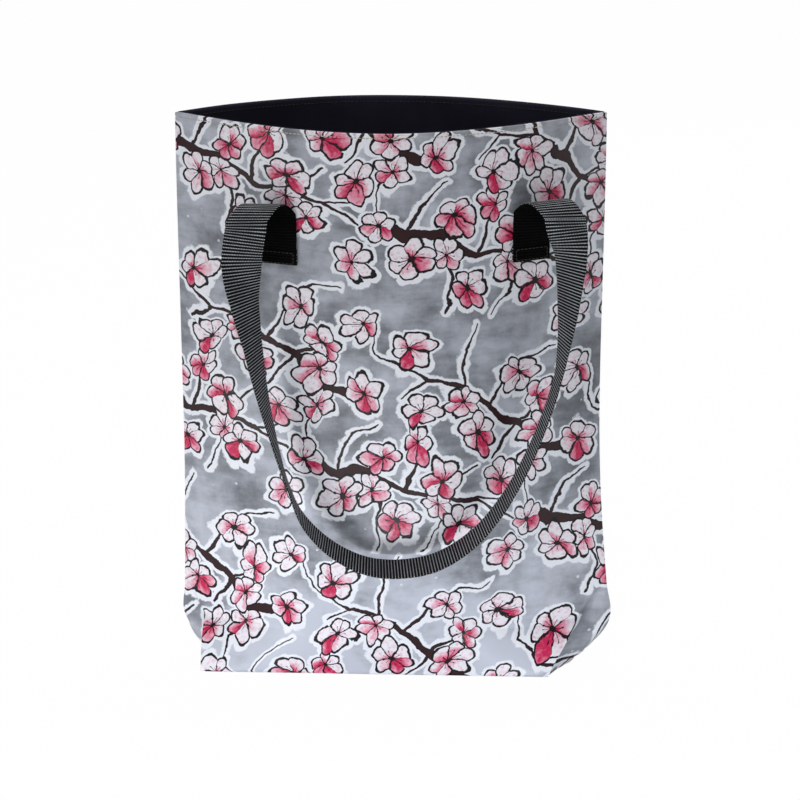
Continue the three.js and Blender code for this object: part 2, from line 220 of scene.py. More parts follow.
# Lamps: name, place, place they face, width and height, watts, tint
PLAIN = (1.0, 1.0, 1.0)
COOL = (0.9, 0.95, 1.0)
LAMPS = (
    ("lamp_key", (-0.3, -1.3, 2.2), (0, 0, 0.2), (0.7, 0.7), 11, PLAIN),
    ("lamp_left", (-1.3, -1.3, 0.35), (0, 0, 0.2), (0.6, 0.6), 4, PLAIN),
    ("lamp_right", (0.9, -0.3, 0.15), (0.16, 0, 0.05), (0.5, 0.2), 0.4, COOL),
    ("lamp_low", (-0.4, -0.4, 0.03), (-0.2, 0, 0.04), (0.7, 0.06), 0.47, PLAIN),
    ("lamp_foot", (0.02, -0.26, 0.015), (0.02, 0, 0.03), (0.7, 0.02), 0.4, COOL),
    ("lamp_back", (0.9, 1.5, 0.6), (0, 0, 0.2), (0.6, 0.6), 5, COOL),
    ("lamp_top", (0.0, 0.5, 2.2), (0, 0, 0.2), (1.4, 1.0), 22, PLAIN),
)
# The floor: half its side, its grey in the light, and how much of it the camera sees as plain white.
# The surroundings: their level for all but the camera.
FLOOR_REACH = 4.0
FLOOR_GREY = 0.85
FLOOR_WHITE = 0.985
AROUND_LEVEL = 0.16


def length(name, default, text):
    """A size in metres that a user can change."""
    return FloatProperty(name=name, description=text, default=default, min=0, unit="LENGTH", precision=4)


def colour(name, default, text):
    """A colour that a user can change."""
    return FloatVectorProperty(
        name=name, description=text, default=(*default, 1.0), size=4, min=0, max=1, subtype="COLOR")


class BagSizes(bpy.types.PropertyGroup):
    """Sizes of the shell"""

    panel_width: length("Panel width", 0.34, "Flat width between the side seams")
    bag_height: length("Height", 0.43, "Floor to rim")
    base_depth: length("Base depth", 0.076, "Front to back of the boxed base")
    belly_depth: length("Belly depth", 0.116, "Front to back where the bag is fullest")
    belly_height: length("Belly height", 0.19, "Height of the fullest place")
    mouth_depth: length("Mouth depth", 0.106, "Front to back of the open mouth")
    crease_height: length("Crease height", 0.062, "Where a corner's crease runs out into the side seam")
    rim_sag: length("Rim sag", 0.004, "How far the middle of the front rim sinks")
    fold_relief: length("Fold relief", 0.0016, "Height of the soft folds in the cloth")


class HandleSizes(bpy.types.PropertyGroup):
    """Sizes of the webbing handles"""

    webbing_width: length("Webbing width", 0.03, "Width of the webbing")
    webbing_thickness: length("Webbing thickness", 0.0014, "Thickness of the webbing")
    rib_pitch: length("Rib pitch", 0.00228, "Distance between the ribs of the webbing")
    rib_height: length("Rib height", 0.00035, "How far a rib stands out")
    spacing: length("Spacing", 0.1894, "Between the two sewn ends, along the panel")
    shift: length("Shift", 0.0109, "How far the pair is sewn to one side of the middle")
    sewn_bottom: length("Sewn end's foot", 0.3255, "Floor to the lower edge of a sewn end")
    sewn_height: length("Sewn end's height", 0.013, "Height of a sewn end")
    riser_height: length("Riser height", 0.0255, "Free webbing above a sewn end, up to the fold")
    riser_lean: length("Riser lean", 0.0015, "Sideways lean of a riser")
    riser_standoff: length("Riser standoff", 0.004, "How far a riser stands off the panel at its fold")
    fold_radius: length("Fold radius", 0.01, "Radius of the webbing's half turn")
    fold_lean: length("Fold lean", 0.021, "Sideways shift of the webbing through its fold")
    drop: length("Drop", 0.265, "Fold to the lowest part of the loop")


class BagColours(bpy.types.PropertyGroup):
    """Colours of the cloth, webbing and thread"""

    ground: colour("Ground", (0.15, 0.16, 0.18), "Deeper grey of the print's ground")
    # Also the colour towards which the painted light from the floor lifts the ground near the base
    ground_light: colour("Light ground", (0.58, 0.61, 0.7), "Paler grey of the print's ground")
    halo: colour("Halo", (0.88, 0.9, 0.97), "Pale border round flowers and stems")
    petal: colour("Petal", (0.9, 0.87, 0.94), "Petals at their tips")
    blush: colour("Blush", (0.82, 0.27, 0.4), "Blush on the petals")
    heart: colour("Heart", (0.62, 0.02, 0.1), "Petals at their feet")
    stem: colour("Stem", (0.032, 0.009, 0.011), "Stems and twigs")
    ink: colour("Ink", (0.007, 0.004, 0.006), "Drawn outlines")
    reverse: colour("Reverse", (0.78, 0.74, 0.72), "Uncoated side of the printed cloth")
    lining: colour("Lining", (0.0106, 0.0098, 0.018), "Dark lining")
    webbing: colour("Webbing", (0.003, 0.0035, 0.004), "Webbing between its ribs")
    # Painted shade: a near-black for the webbing's inner face, standing for the shade it lies in under the folds;
    # the webbing itself is the same on both sides
    webbing_inner: colour("Inner webbing", (0.0004, 0.0004, 0.0005), "Webbing on its inner face")
    webbing_light: colour("Light webbing", (0.78, 0.83, 0.88), "Yarns on top of the ribs")
    pale_thread: colour("Pale thread", (0.62, 0.57, 0.48), "Topstitching outside")
    dark_thread: colour("Dark thread", (0.04, 0.035, 0.021), "Stitching inside and on the handles")
    backing: colour("Backing", (0.7, 0.69, 0.66), "Backing behind the handles")


def values_of(group):
    """A property group's values as plain numbers and tuples."""
    keys = tuple(group.__annotations__)
    values = (getattr(group, key) for key in keys)
    return namedtuple("Values", keys)(*(value if isinstance(value, float) else tuple(value) for value in values))


def settings():
    """Sizes of the bag, sizes of its handles, and colours."""
    scene = bpy.context.scene
    return values_of(scene.bag_sizes), values_of(scene.handle_sizes), values_of(scene.bag_colours)


def mix(low, high, share):
    """The value or point at a share of the way between two others."""
    return low + (high - low) * share


def clamp(value):
    return np.clip(value, 0.0, 1.0)


def smooth_step(value):
    value = clamp(value)
    return value * value * (3 - 2 * value)


def hill(value, centre, width):
    """A smooth bump of height 1."""
    return np.exp(-(((value - centre) / width) ** 2))


def unit(vectors):
    """Vectors made 1 long."""
    return vectors / np.linalg.norm(vectors, axis=-1, keepdims=True)


# The cloth wall

def face_depth(size, z):
    """Distance of the middle of a face from the bag's mid plane."""
    rise = math.sin(math.pi / 2 * clamp(z / size.belly_height))
    full = mix(size.base_depth / 2, size.belly_depth / 2, rise)
    ease = smooth_step((z - size.belly_height) / (size.bag_height - size.belly_height))
    return mix(full, size.mouth_depth / 2, ease)


def arc_length(chord, bow, t):
    """Length along a half face, a parabola of that half width and bow, from its middle."""
    slope = 2 * bow * t / chord
    return 0.5 * chord * t * np.sqrt(1 + slope**2) + chord**2 / (4 * bow) * np.arcsinh(slope)


def chord_of(reach, bow):
    """Half width of a half face of a given length and bow."""
    low, high = 0.5 * reach, reach + 0 * bow
    for _ in range(32):
        chord = (low + high) / 2
        short = arc_length(chord, bow, 1.0) < reach
        low = np.where(short, chord, low)
        high = np.where(short, high, chord)
    return chord


def seam_reach(size, z):
    """Distance of a side seam from the bag's middle at one height."""
    opened = clamp(1 - z / size.crease_height)
    gusset = size.base_depth / 2 * opened
    turn = GUSSET_SPLAY * (1 - opened)
    bow = face_depth(size, z) - gusset * math.cos(turn) - SEAM_HALF
    chord = chord_of(size.panel_width / 2 - gusset, bow)
    return chord + gusset * math.sin(turn) + GUSSET_PUFF * math.sin(math.pi * opened) ** 2


def gusset_width(size, z, power, inset=0.0):
    """Width of the gusset's half beside a crease at one height."""
    return (size.base_depth / 2 - inset) * (1 - clamp(z / CREASE_TOP) ** power)


@lru_cache(maxsize=None)
def crease_turn(size, z, power):
    """Turn of a half gusset out of the bag's depth that brings its seam into place, and how far it falls short."""
    strip = gusset_width(size, z, power)
    seam = seam_reach(size, z)
    turns = np.radians(np.arange(0, 86))
    chords = chord_of(size.panel_width / 2 - strip, face_depth(size, z) - SEAM_HALF - strip * np.cos(turns))
    reached = chords + strip * np.sin(turns)
    best = int(np.argmax(reached)) + 1
    turn = float(np.interp(seam, reached[:best], turns[:best]))
    return turn, max(0.0, seam - float(reached[:best].max()))


@lru_cache(maxsize=None)
def crease_place(size, z, inset, power):
    """Width of the half gusset at one height, and how far its crease and seam lie from the bag's middle lines."""
    strip = gusset_width(size, z, power, inset)
    turn, short = crease_turn(size, z, power)
    back = strip * math.cos(turn)
    bow = face_depth(size, z) - inset - SEAM_HALF - back
    chord = float(chord_of(size.panel_width / 2 - 2 * inset - strip, bow))
    return strip, chord, back, chord + strip * math.sin(turn) + short


def half_outline(size, z, s, inset, power):
    """Level outline of one half of a panel at one height, at distances along the cloth from its middle."""
    strip, chord, back, seam = crease_place(size, z, inset, power)
    depth = face_depth(size, z) - inset
    reach = size.panel_width / 2 - 2 * inset
    bow = depth - SEAM_HALF - back
    t = np.linspace(0, 1, OUTLINE_POINTS)
    t = np.interp(np.minimum(s, reach - strip), arc_length(chord, bow, t), t)
    past = clamp((s - reach + strip) / max(strip, 1e-9))
    return chord * t + (seam - chord) * past, -depth + bow * t**2 + back * past


def outline(size, side, z, along, inset):
    """Level outline of the front panel at one height, at distances along the cloth from its middle."""
    s = np.abs(along) * (1 - 4 * inset / size.panel_width)
    left, right = (half_outline(size, z, s, inset, CREASE_POWERS[side, end]) for end in (-1, 1))
    return np.where(along > 0, right[0], -left[0]), np.where(along > 0, right[1], left[1])


def relief(size, side, z, along):
    """How far soft folds, the gussets' own and the rim's stitches push the cloth out of its plain shape."""
    u, v = along / FOLD_UNIT, z / FOLD_UNIT
    phase = 0.0 if side > 0 else BACK_PHASE
    waves = sum(high * np.sin(a * u + b * v + turn + times * phase) for high, a, b, turn, times in FOLD_WAVES)
    edge = size.panel_width / 2 - np.abs(along)
    quiet = smooth_step(edge / QUIET_EDGE) * smooth_step(z / QUIET_FOOT)
    sewn = STITCH_DENT * hill(z, size.bag_height - RIM_STITCH, 0.0011)
    return size.fold_relief * waves * quiet - sewn + gusset_relief(size, side, z, along, edge)


def gusset_relief(size, side, z, along, edge):
    """The hollow beside a crease, the ridge beyond it and the seam sewn across the boxed corner."""
    left, right = (gusset_width(size, z, CREASE_POWERS[side, end]) for end in (-1, 1))
    strip = np.maximum(np.where(along > 0, right, left), 1e-6)
    past = clamp(1 - edge / strip)
    inner = clamp(past / RIDGE_PLACE)
    outer = clamp((1 - past) / (1 - RIDGE_PLACE))
    deep = smooth_step((HOLLOW_HEIGHTS[0] - z) / (HOLLOW_HEIGHTS[0] - HOLLOW_HEIGHTS[1]))
    hollow = WIDE_HOLLOW * inner * (1 - inner) + mix(*NARROW_HOLLOW, deep) * inner * (1 - inner) ** 2
    folds = strip * (RIDGE_SHARE * np.minimum(inner, outer) - hollow)
    rise = math.sin(math.pi * clamp(z / CREASE_TOP)) ** 0.5
    seam = CROSS_SEAM + CROSS_LEAN * (0.5 - past)
    pucker = PUCKER_HEIGHT * (0.5 + 0.5 * np.cos(2 * math.pi * edge / PUCKER_PITCH))
    groove = CROSS_DEPTH * hill(z, seam, 0.0015) - pucker * hill(z, seam, 0.006)
    within = smooth_step((strip - edge) / 0.003) * smooth_step(strip / 0.008)
    return folds * rise - within * groove * smooth_step(edge / 0.005)


def facing(size, side, z, x, y):
    """Distances along the outer skin of the places nearest to an inner layer's points."""
    half = size.panel_width / 2
    grid = np.linspace(-half, half, FACING_POINTS)
    outer_x, outer_y = outline(size, side, z, grid, 0.0)
    return grid[np.argmin((x[:, None] - outer_x) ** 2 + (y[:, None] - outer_y) ** 2, axis=1)]


def settled(side, x, y, z):
    """Turns the back panel round, and slips the soft base sideways under the mouth."""
    x, y = side * x, side * y
    fade = clamp(1 - z / SHEAR_HEIGHT) ** SHEAR_EASE
    slip = BASE_SLIP * clamp(1 - z / SLIP_HEIGHT) ** 2
    moved = x + BASE_SHEAR * fade * y + slip - MIDDLE_X
    return np.stack([moved, y - BASE_TWIST * fade * x, np.broadcast_to(z, np.shape(x))], -1)


def wall_row(size, side, z, along, inset=0.0, height=None, plain=False):
    """Points of one layer of the wall at one height. Height is where they stand, if that differs."""
    along = np.asarray(along, float)
    x, y = outline(size, side, z, along, inset)
    if not plain:
        before, after = (np.stack(outline(size, side, z, along + step, inset), -1) for step in (-STEP, STEP))
        across = unit(after - before)
        push = relief(size, side, z, along)
        if inset > 0 and z < CREASE_TOP:
            edge = size.panel_width / 2 - np.abs(along)
            push = relief(size, side, z, facing(size, side, z, x, y)) * smooth_step(edge / 0.003)
        x = x + across[:, 1] * push
        y = y - across[:, 0] * push
    points = settled(side, x, y, z if height is None else height)
    if not plain and side > 0:
        rise = smooth_step((z - SAG_FOOT) / SAG_LENGTH)
        points[:, 2] -= size.rim_sag * rise * np.cos(math.pi / 2 * along / (size.panel_width / 2)) ** 2
    return points


def columns_at(size, side, z, face_count, strip_count):
    """Distances along the cloth from seam to seam, with columns at the creases."""
    half = size.panel_width / 2
    strips, creases = [], []
    for end in (-1, 1):
        crease = half - max(gusset_width(size, z, CREASE_POWERS[side, end]), STRIP_WIDTH)
        strips.append(end * np.append(np.linspace(half, crease + CREASE_ROLL, strip_count), crease))
        creases.append(end * (crease - CREASE_ROLL))
    return np.concatenate([strips[0], np.linspace(*creases, face_count - 1), strips[1][::-1]])


# Mesh building

def placed(name, data):
    """A new object in the scene."""
    obj = bpy.data.objects.new(name, data)
    bpy.context.scene.collection.objects.link(obj)
    return obj


class Skin:
    """Points, faces and print coordinates of a mesh in the making."""

    def __init__(self):
        self.points, self.faces, self.places, self.count = [], [], [], 0

    def add(self, points, faces, places=None):
        """Adds points and the faces between them, whose corners are counted from the first point."""
        points = np.reshape(points, (-1, 3))
        self.faces += [tuple(self.count + corner for corner in face) for face in faces]
        self.points.append(points)
        self.places.append(np.zeros((len(points), 2)) if places is None else np.reshape(places, (-1, 2)))
        self.count += len(points)

    def add_grid(self, points, places=None, flip=False):
        """Adds rows of points and the squares between them."""
        rows, columns = np.shape(points)[:2]
        square = (columns, columns + 1, 1, 0) if flip else (0, 1, columns + 1, columns)
        starts = (np.arange(rows - 1)[:, None] * columns + np.arange(columns - 1)).ravel()
        self.add(points, (starts[:, None] + square).tolist(), places)

    def piece(self, name, slot, node, body="bag", weld=True):
        """Makes the piece in its slot's material. It stands for its CAD node and rides on its body."""
        mesh = bpy.data.meshes.new(name)
        mesh.from_pydata(np.concatenate(self.points).tolist(), [], self.faces)
        corners = np.zeros(len(mesh.loops), int)
        mesh.loops.foreach_get("vertex_index", corners)
        mesh.uv_layers.new(name="print").data.foreach_set("uv", np.concatenate(self.places)[corners].ravel())
        if weld:
            work = bmesh.new()
            work.from_mesh(mesh)
            bmesh.ops.remove_doubles(work, verts=work.verts, dist=2e-6)
            bmesh.ops.dissolve_degenerate(work, edges=work.edges, dist=1e-7)
            bmesh.ops.recalc_face_normals(work, faces=work.faces)
            work.to_mesh(mesh)
            work.free()
        mesh.shade_smooth()
        mesh.set_sharp_from_angle(angle=SHARP_ANGLE)
        mesh.materials.append(slot_material(slot))
        obj = placed(name, mesh)
        if body:
            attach(obj, body)
        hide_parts(node)
        return obj


def filled(front, back, left, right, rows):
    """A patch of rows between four edges, which meet at its corners."""
    v = np.linspace(0, 1, rows)[:, None, None]
    u = np.linspace(0, 1, len(front))[None, :, None]
    between_ends = mix(front[None], back[None], v) + mix(left[:, None], right[:, None], u)
    return between_ends - mix(mix(front[0], front[-1], u), mix(back[0], back[-1], u), v)


def panel_skin(skin, size, side, stations, counts, flip):
    """One skin of a panel: its share of the base, the wall, and on over the rim where stations go there.

    A station holds a height, the height whose columns it takes, its depth, where it stands and its print height.
    Counts are those of its columns, on the face and on each strip beside it.
    """
    foot_z, _, foot_inset, foot_height, _ = stations[0]
    columns = columns_at(size, side, foot_z, *counts)
    foot = wall_row(size, side, foot_z, columns, foot_inset, foot_height)
    inner, strip = slice(counts[1], -counts[1]), counts[1] + 1
    left, front, right = foot[:strip][::-1], foot[inner], foot[-strip:]
    seam = mix(left[-1], right[-1], np.linspace(0, 1, len(front))[:, None])
    base = filled(front, seam, left, right, strip)
    along, behind = np.meshgrid(columns[inner], columns[-strip:] - columns[-strip])
    skin.add_grid(base, np.stack([along, -behind], -1), flip=not flip)
    rows, places = [], []
    for z, along_z, inset, height, print_v in stations:
        columns = columns_at(size, side, along_z, *counts)
        rows.append(wall_row(size, side, z, columns, inset, height))
        places.append(np.stack([columns, np.full(len(columns), print_v)], -1))
    skin.add_grid(rows, places, flip=flip)
    return base, np.array(rows)


def heights(levels, steps):
    """Heights from the first level to the last, about a step apart between each two levels."""
    spans = zip(levels, levels[1:], steps)
    parts = [np.linspace(low, high, max(2, round((high - low) / step) + 1))[1:] for low, high, step in spans]
    return np.concatenate([levels[:1], *parts])


def foot_stations(depth, floor):
    """Stations round the foot's fold, from the base up into the wall."""
    stations = []
    for angle in np.radians([0, 30, 60, 90]):
        height = floor + FOOT_RADIUS * (1 - math.cos(angle))
        inset = depth + FOOT_RADIUS * (1 - math.sin(angle))
        stations.append((height, height, inset, height, height))
    return stations


def closed_panel(size, side, outer, inner, counts):
    """A panel as one closed body, between its outer and inner skins. Both need the same number of rows."""
    skin = Skin()
    outer_base, outer_wall = panel_skin(skin, size, side, outer, counts, False)
    inner_base, inner_wall = panel_skin(skin, size, side, inner, counts, True)
    for column in (0, -1):
        skin.add_grid(np.stack([outer_wall[:, column], inner_wall[:, column]]))
    skin.add_grid(np.stack([outer_base[-1], inner_base[-1]]))
    skin.add_grid(np.stack([outer_wall[-1], inner_wall[-1]]))
    return skin


def shell_panel(size, side):
    """The printed panel, with its top edge folded down inside as a hem."""
    top = size.bag_height
    half = HEM_THICKNESS / 2
    wall = heights((FOOT_RADIUS, *ROW_LEVELS, *(top - drop for drop in SHELL_DROPS)), SHELL_STEPS)[1:]
    outer = foot_stations(0.0, 0.0) + [(z, z, 0.0, z, z) for z in wall]
    inner = foot_stations(OUTER_THICKNESS, OUTER_THICKNESS)
    for z in wall:
        hem = z >= top - HEM_HEIGHT
        inner.append((z, z, HEM_THICKNESS if hem else OUTER_THICKNESS, z, 2 * top - z if hem else 2 * top + z))
    for angle in np.radians([30, 60, 90]):
        height = top - half + half * math.sin(angle)
        outer.append((top - half, top, half * (1 - math.cos(angle)), height, height))
        inner.append((top - half, top, half * (1 + math.cos(angle)), height, 2 * top - height))
    return closed_panel(size, side, outer, inner, SHELL_COLUMNS)


def lining_panel(size, side):
    """The lining's panel inside the shell."""
    top = size.bag_height
    skins = []
    for depth in LINING_DEPTHS:
        low = OUTER_THICKNESS + CLEARANCE + depth - LINING_DEPTHS[0]
        wall = heights((low + FOOT_RADIUS, *ROW_LEVELS, top - LINING_DROP), LINING_STEPS)[1:]
        stations = foot_stations(depth, low) + [(z, z, depth, z, z) for z in wall]
        for rise, roll in LINING_EDGE:
            stations.append((top + LINING_EDGE[0][0], top, depth - roll, top + rise, top + rise))
        skins.append(stations)
    return closed_panel(size, side, *skins, LINING_COLUMNS)


# Webbing

def smooth_curve(points, count):
    """A centripetal Catmull-Rom curve through points, at even steps of its parameter."""
    points = np.concatenate([[2 * points[0] - points[1]], points, [2 * points[-1] - points[-2]]])
    spans = len(points) - 3
    found = []
    for share in np.linspace(0, spans, count):
        first = min(int(share), spans - 1)
        p = points[first:first + 4]
        knots = np.concatenate([[0], np.cumsum(np.linalg.norm(np.diff(p, axis=0), axis=1) ** 0.5)])
        found.append(catmull(p, knots, mix(knots[1], knots[2], share - first)))
    return np.array(found)


def catmull(p, k, t):
    """One point of a Catmull-Rom span between its middle points."""
    def blend(a, b, i, j):
        return ((k[j] - t) * a + (t - k[i]) * b) / (k[j] - k[i])
    first = [blend(p[i], p[i + 1], i, i + 1) for i in range(3)]
    second = [blend(first[i], first[i + 1], i, i + 2) for i in range(2)]
    return blend(second[0], second[1], 1, 2)


def along_path(points):
    """Distance along a row of points."""
    return np.concatenate([[0], np.cumsum(np.linalg.norm(np.diff(points, axis=0), axis=1))])


def at_distance(wanted, run, points):
    """Points or vectors at the wanted distances, from those at known ones."""
    return np.stack([np.interp(wanted, run, points[:, i]) for i in range(3)], -1)


def ribbon(skin, hand, centres, across, start, level):
    """Ribbed webbing along a path. Start is the length of webbing before it, so ribs run on.

    Level is the length at each end over which the rings stay level, to meet the next piece.
    """
    known = along_path(centres)
    run = np.linspace(0, known[-1], max(4, round(known[-1] / (hand.rib_pitch / RIB_RINGS)) + 1))
    centres = at_distance(run, known, centres)
    across = unit(at_distance(run, known, across))
    tangent = np.gradient(centres, run, axis=0)
    lean = np.sum(across * tangent, 1) / np.sum(tangent * tangent, 1)
    square = unit(across - tangent * lean[:, None])
    share = smooth_step(run / level[0]) * smooth_step((run[-1] - run) / level[1])
    across = unit(mix(across, square, share[:, None]))
    out = unit(np.cross(across, tangent))
    wave = 0.5 + 0.5 * np.cos(2 * math.pi * (run + start) / hand.rib_pitch)
    half = hand.webbing_thickness / 2 - hand.rib_height * (1 - wave)
    count = len(WEB_COLUMNS)
    u = np.concatenate([WEB_COLUMNS, WEB_COLUMNS[::-1], WEB_COLUMNS[:1]])
    face = np.repeat((1, -1, 1), (count, count, 1)) * np.sqrt(np.maximum(1 - np.abs(u) ** EDGE_POWER, 0.0))
    aside = u * hand.webbing_width / 2
    ring = centres[:, None] + across[:, None] * aside[:, None] + out[:, None] * (half[:, None] * face)[..., None]
    places = np.stack(np.broadcast_arrays(aside, (run + start)[:, None]), -1)
    places[:, :count, 1] += INNER_FACE_RIBS * hand.rib_pitch
    skin.add_grid(ring, places)
    for end in (0, -1):
        skin.add_grid(np.stack([ring[end, :count], ring[end, count:2 * count][::-1]]))
    return start + run[-1]


def sewn_frame(size, hand, end, plain=False):
    """Place of a sewn end of the front handle: a point on the wall, the way along it and the way out."""
    along = hand.shift + end * hand.spacing / 2
    z = hand.sewn_bottom + hand.sewn_height / 2
    left, place, right = wall_row(size, 1, z, [along - STEP, along, along + STEP], plain=plain)
    across = unit((right - left) * (1, 1, 0))
    out = np.array([across[1], -across[0], 0.0])
    return place + out * CLEARANCE, across, out


def riser_top(size, hand, end):
    """Where a riser's webbing, the outer of two layers, reaches its fold."""
    place, _, out = sewn_frame(size, hand, end, plain=True)
    top = place + out * 1.5 * hand.webbing_thickness
    height = hand.sewn_bottom + hand.sewn_height + hand.riser_height
    return np.array([top[0] + end * hand.riser_lean, top[1] - hand.riser_standoff, height])


def hinge_line(size, hand):
    """The line about which a handle swings: the tops of its risers, the way along it and the way out."""
    tops = [riser_top(size, hand, end) for end in (-1, 1)]
    axis = unit(tops[1] - tops[0])
    return tops, axis, np.array([axis[1], -axis[0], 0.0])


def half_turned(points, side):
    """The back handle is the front one turned half round the bag's upright middle line."""
    return points if side > 0 else points * (-1, -1, 1) - (2 * MIDDLE_X, 0, 0)


def riser_path(size, hand, end):
    """Centre line of a sewn end: down behind, round its folded foot, and up to the fold."""
    place, across, out = sewn_frame(size, hand, end)
    tops, axis, _ = hinge_line(size, hand)
    thick = hand.webbing_thickness
    up = np.array([0.0, 0.0, 1.0])
    flat = place * (1, 1, 0)
    sewn_top = up * (hand.sewn_bottom + hand.sewn_height)
    centres = [flat + out * thick / 2 + sewn_top]
    for angle in np.radians(np.arange(0, 181, 15)):
        shift = thick * (1 - 0.5 * math.cos(angle))
        centres.append(flat + out * shift + up * (hand.sewn_bottom + thick - thick / 2 * math.sin(angle)))
    low, top = flat + out * 1.5 * thick + sewn_top, tops[end > 0]
    centres += [low, mix(low, top, 0.5), top, top + up * CLEARANCE]
    vectors = [across] * (len(centres) - 3) + [mix(across, axis, 0.5), axis, axis]
    return np.array(centres), np.array(vectors)


def fold_path(size, hand, end):
    """Centre line of the half turn of webbing over the top of a riser."""
    tops, axis, away = hinge_line(size, hand)
    share = np.linspace(0, 1, 61)[:, None]
    angle = math.pi * share
    centres = tops[end > 0] + axis * end * hand.fold_lean * share
    centres = centres + away * hand.fold_radius * (1 - np.cos(angle))
    centres[:, 2:] += CLEARANCE + hand.fold_radius * np.sin(angle)
    across = np.repeat(axis[None], len(centres), 0)
    across[:, 2:] += FOLD_TIPS[end] * np.sin(angle)
    return centres, across


def loop_path(size, hand):
    """Centre line of the hanging loop."""
    tops, axis, away = hinge_line(size, hand)
    left, right = (
        top + axis * end * hand.fold_lean + away * 2 * hand.fold_radius for top, end in zip(tops, (-1, 1)))
    lowest = -(size.belly_depth / 2 + CLEARANCE + hand.webbing_width / 2)
    span, drop, turn = LOOP_SHAPE.T
    points = mix(left, right, span[:, None])
    points[:, 1] -= drop * ((left[1] + right[1]) / 2 - lowest)
    points[:, 2] += CLEARANCE * (drop == 0) - drop * hand.drop
    turn = np.radians(np.interp(np.linspace(0, len(turn) - 1, LOOP_POINTS), np.arange(len(turn)), turn))
    across = axis * np.cos(turn)[:, None] - away * np.sin(turn)[:, None]
    across[:, 2] = np.sin(turn) ** 2 * math.tan(LOOP_TILT)
    return smooth_curve(points, LOOP_POINTS), across


def webbing_piece(hand, name, node, path, side, start, level, body="bag"):
    """A piece of webbing along a path of the front handle, or the same of the back one.

    Gives back the piece, and the length of webbing up to its end.
    """
    skin = Skin()
    centres, across = path
    used = ribbon(skin, hand, half_turned(centres, side), across * (side, side, 1), start, level)
    return skin.piece(name, "webbing", node, body), used


# Stitching

def stitch(skin, start, finish, radius):
    """One stitch: a short thread that dips into the cloth at both ends."""
    line = unit(finish - start)
    side = unit(np.cross(line, ASTRAY))
    other = np.cross(line, side)
    angles = np.radians(np.arange(0, 360, 60))
    rings = []
    for share, wide in ((0, 0.3), (0.12, 0.8), (0.5, 1), (0.88, 0.8), (1, 0.3)):
        centre = mix(start, finish, share)
        rings.append([centre + radius * wide * (side * math.cos(a) + other * math.sin(a)) for a in angles])
    count = len(angles)
    faces = []
    for row in range(0, 4 * count, count):
        for i in range(count):
            after = (i + 1) % count
            faces.append((row + i, row + after, row + count + after, row + count + i))
    faces += [range(count)[::-1], range(4 * count, 5 * count)]
    skin.add(rings, faces)


def sewn(name, slot, node, lines, radius, share=0.74):
    """A piece of stitches at an even pitch along lines. Share is that of a stitch in its pitch."""
    skin = Skin()
    for line in lines:
        run = along_path(line)
        count = max(1, round(run[-1] / STITCH_PITCH))
        for index in range(count):
            begin = run[-1] * (index + (1 - share) / 2) / count
            ends = (at_distance(at, run, line) for at in (begin, begin + run[-1] * share / count))
            stitch(skin, *ends, radius)
    skin.piece(name, slot, node, weld=False)


# Materials

class Flow:
    """A value in a node tree. A sum with it adds the node that works the sum out."""

    def __init__(self, wires, socket):
        self.wires, self.socket = wires, socket

    def math(self, operation, *values, clamp=False):
        return self.wires.math(operation, self, *values, clamp=clamp)

    def __rsub__(self, other):
        return self.wires.math("SUBTRACT", other, self)

    __add__ = partialmethod(math, "ADD")
    __sub__ = partialmethod(math, "SUBTRACT")
    __mul__ = partialmethod(math, "MULTIPLY")
    __truediv__ = partialmethod(math, "DIVIDE")
    __mod__ = partialmethod(math, "FLOORED_MODULO")
    __abs__ = partialmethod(math, "ABSOLUTE")
    __lt__ = partialmethod(math, "LESS_THAN")
    __gt__ = partialmethod(math, "GREATER_THAN")
    times_plus = partialmethod(math, "MULTIPLY_ADD")

    def ramp(self, low, high, to_low=0.0, to_high=1.0):
        """Eases from one value to another between two levels."""
        inputs = {"Value": self, "From Min": low, "From Max": high, "To Min": to_low, "To Max": to_high}
        node = self.wires.node("MapRange", inputs, interpolation_type="SMOOTHSTEP")
        return Flow(self.wires, node.outputs["Result"])


class Wires:
    """Adds nodes to a tree and wires them up. Inputs are flows, sockets or plain values."""

    def __init__(self, tree):
        self.tree = tree

    def node(self, kind, inputs=(), **options):
        node = self.tree.nodes.new("ShaderNode" + kind)
        for key, value in options.items():
            setattr(node, key, value)
        for key, value in dict(inputs).items():
            self.set(node.inputs[key], value)
        return node

    def set(self, socket, value):
        value = getattr(value, "socket", value)
        if isinstance(value, bpy.types.NodeSocket):
            self.tree.links.new(value, socket)
        else:
            socket.default_value = value

    def flows(self, sockets):
        return [Flow(self, socket) for socket in sockets]

    def math(self, operation, *values, clamp=False):
        return Flow(self, self.node("Math", enumerate(values), operation=operation, use_clamp=clamp).outputs[0])

    minimum = partialmethod(math, "MINIMUM")
    maximum = partialmethod(math, "MAXIMUM")
    floor = partialmethod(math, "FLOOR")
    sine = partialmethod(math, "SINE")
    cosine = partialmethod(math, "COSINE")

    def vector(self, operation, *values, **inputs):
        node = self.node("VectorMath", {**dict(enumerate(values)), **inputs}, operation=operation)
        return Flow(self, node.outputs["Value" if operation in ("LENGTH", "DISTANCE", "DOT_PRODUCT") else 0])

    def blend(self, share, a, b):
        """Mixes two colours."""
        return self.node("Mix", {0: share, 6: a, 7: b}, data_type="RGBA").outputs[2]

    def pick(self, share, a, b):
        """Mixes two vectors."""
        return self.node("Mix", {0: share, 4: a, 5: b}, data_type="VECTOR", clamp_factor=False).outputs[1]

    def noise(self, vector, scale, detail=2.0, roughness=0.5):
        """Soft noise around one half, as a value and as a colour."""
        inputs = {"Vector": vector, "Scale": scale, "Detail": detail, "Roughness": roughness}
        return self.flows(self.node("TexNoise", inputs).outputs)

    def parts(self, vector):
        return self.flows(self.node("SeparateXYZ", {0: vector}).outputs)

    def join(self, x, y):
        return self.node("CombineXYZ", {0: x, 1: y}).outputs[0]


FLOAT, VECTOR, COLOUR = "NodeSocketFloat", "NodeSocketVector", "NodeSocketColor"


